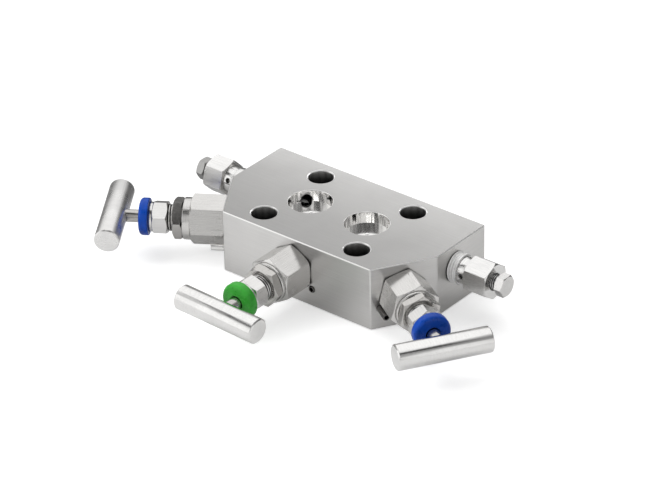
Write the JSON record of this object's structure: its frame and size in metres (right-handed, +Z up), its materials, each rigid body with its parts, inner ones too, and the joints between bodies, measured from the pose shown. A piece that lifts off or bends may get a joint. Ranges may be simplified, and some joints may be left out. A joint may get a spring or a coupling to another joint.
{
  "type": "instrument valve manifold",
  "caption": "Flat hexagonal stainless block with cross-handled isolating and equalizing needle valves, vent valves, bolt holes, seal pockets and threaded process ports.",
  "frame": {"origin": "centre of the four-bolt pattern on the top face, where the transmitter sits", "axes": "+Z up out of the top face, +X along the long back edge towards the right isolating valve, +Y towards the back edge; the equalizing valve points to -Y"},
  "size_m": [0.2245, 0.12, 0.0314],
  "materials": {
    "block_steel": "fine machined satin",
    "turned_steel": "bright turned and polished",
    "dark_steel": "black oiled steel",
    "blue_cap": "semi-gloss moulded",
    "green_cap": "semi-gloss moulded",
    "packing": "dull white",
    "tape": "dull white"
  },
  "bodies": {
    "block": {"manifold_body": "block_steel", "isolate_left_bonnet": "turned_steel", "isolate_left_gland_washers": "turned_steel", "isolate_left_packing_rings": "packing", "isolate_left_packing_adjuster": "turned_steel", "isolate_left_lock_nut": "turned_steel", "isolate_left_dust_cap": "blue_cap", "isolate_left_bonnet_lock_pin": "dark_steel", "isolate_right_bonnet": "turned_steel", "isolate_right_gland_washers": "turned_steel", "isolate_right_packing_rings": "packing", "isolate_right_packing_adjuster": "turned_steel", "isolate_right_lock_nut": "turned_steel", "isolate_right_dust_cap": "blue_cap", "isolate_right_bonnet_lock_pin": "dark_steel", "equalize_bonnet": "turned_steel", "equalize_gland_washers": "turned_steel", "equalize_packing_rings": "packing", "equalize_packing_adjuster": "turned_steel", "equalize_lock_nut": "turned_steel", "equalize_dust_cap": "green_cap", "equalize_bonnet_lock_pin": "dark_steel", "vent_left_body": "turned_steel", "vent_right_body": "turned_steel", "vent_right_thread_tape": "tape"},
    "isolate_left_tip": {"isolate_left_ball_tip": "turned_steel"},
    "isolate_left_stem_and_handle": {"isolate_left_stem": "turned_steel", "isolate_left_handle_bar": "turned_steel", "isolate_left_handle_set_screw": "dark_steel"},
    "isolate_right_tip": {"isolate_right_ball_tip": "turned_steel"},
    "isolate_right_stem_and_handle": {"isolate_right_stem": "turned_steel", "isolate_right_handle_bar": "turned_steel", "isolate_right_handle_set_screw": "dark_steel"},
    "equalize_tip": {"equalize_ball_tip": "turned_steel"},
    "equalize_stem_and_handle": {"equalize_stem": "turned_steel", "equalize_handle_bar": "turned_steel", "equalize_handle_set_screw": "dark_steel"},
    "vent_left_ball_lift": {"vent_left_ball": "turned_steel"},
    "vent_left_screw_turn": {"vent_left_bleed_screw": "turned_steel"},
    "vent_right_ball_lift": {"vent_right_ball": "turned_steel"},
    "vent_right_screw_turn": {"vent_right_bleed_screw": "turned_steel"}
  },
  "joints": [
    {"name": "isolate_left_travel", "type": "slide", "parent": "block", "child": "isolate_left_tip", "axis": [-0.8471, -0.5314, 0], "range_m": [-0.0033, 0.00108]},
    {"name": "isolate_left_turn", "type": "hinge", "parent": "isolate_left_tip", "child": "isolate_left_stem_and_handle", "pos_m": [-0.05169, -0.01755, -0.0142], "axis": [-0.8471, -0.5314, 0], "range_deg": [-950.4, 309.6]},
    {"name": "isolate_right_travel", "type": "slide", "parent": "block", "child": "isolate_right_tip", "axis": [0.8471, -0.5314, 0], "range_m": [-0.0007, 0.00367]},
    {"name": "isolate_right_turn", "type": "hinge", "parent": "isolate_right_tip", "child": "isolate_right_stem_and_handle", "pos_m": [0.05118, -0.01836, -0.0142], "axis": [0.8471, -0.5314, 0], "range_deg": [-201.6, 1058.4]},
    {"name": "equalize_travel", "type": "slide", "parent": "block", "child": "equalize_tip", "axis": [0, -1, 0], "range_m": [-0.0011, 0.00328]},
    {"name": "equalize_turn", "type": "hinge", "parent": "equalize_tip", "child": "equalize_stem_and_handle", "pos_m": [-0.00155, -0.0314, -0.0142], "axis": [0, -1, 0], "range_deg": [-316.9, 943.2]},
    {"name": "vent_left_travel", "type": "slide", "parent": "block", "child": "vent_left_ball_lift", "axis": [-1, 0, 0], "range_m": [0, 0.002]},
    {"name": "vent_left_turn", "type": "hinge", "parent": "vent_left_ball_lift", "child": "vent_left_screw_turn", "pos_m": [-0.0623, 0.0093, -0.0114], "axis": [-1, 0, 0], "range_deg": [0, 720.1]},
    {"name": "vent_right_travel", "type": "slide", "parent": "block", "child": "vent_right_ball_lift", "axis": [1, 0, 0], "range_m": [0, 0.002]},
    {"name": "vent_right_turn", "type": "hinge", "parent": "vent_right_ball_lift", "child": "vent_right_screw_turn", "pos_m": [0.06, 0.0093, -0.0114], "axis": [1, 0, 0], "range_deg": [0, 720.1]}
  ],
  "couplings": [
    {"joint": "isolate_left_turn", "follows": "isolate_left_travel", "rad_per_m": 5026.5},
    {"joint": "isolate_right_turn", "follows": "isolate_right_travel", "rad_per_m": 5026.5},
    {"joint": "equalize_turn", "follows": "equalize_travel", "rad_per_m": 5026.5},
    {"joint": "vent_left_turn", "follows": "vent_left_travel", "rad_per_m": 6283.2},
    {"joint": "vent_right_turn", "follows": "vent_right_travel", "rad_per_m": 6283.2}
  ]
}
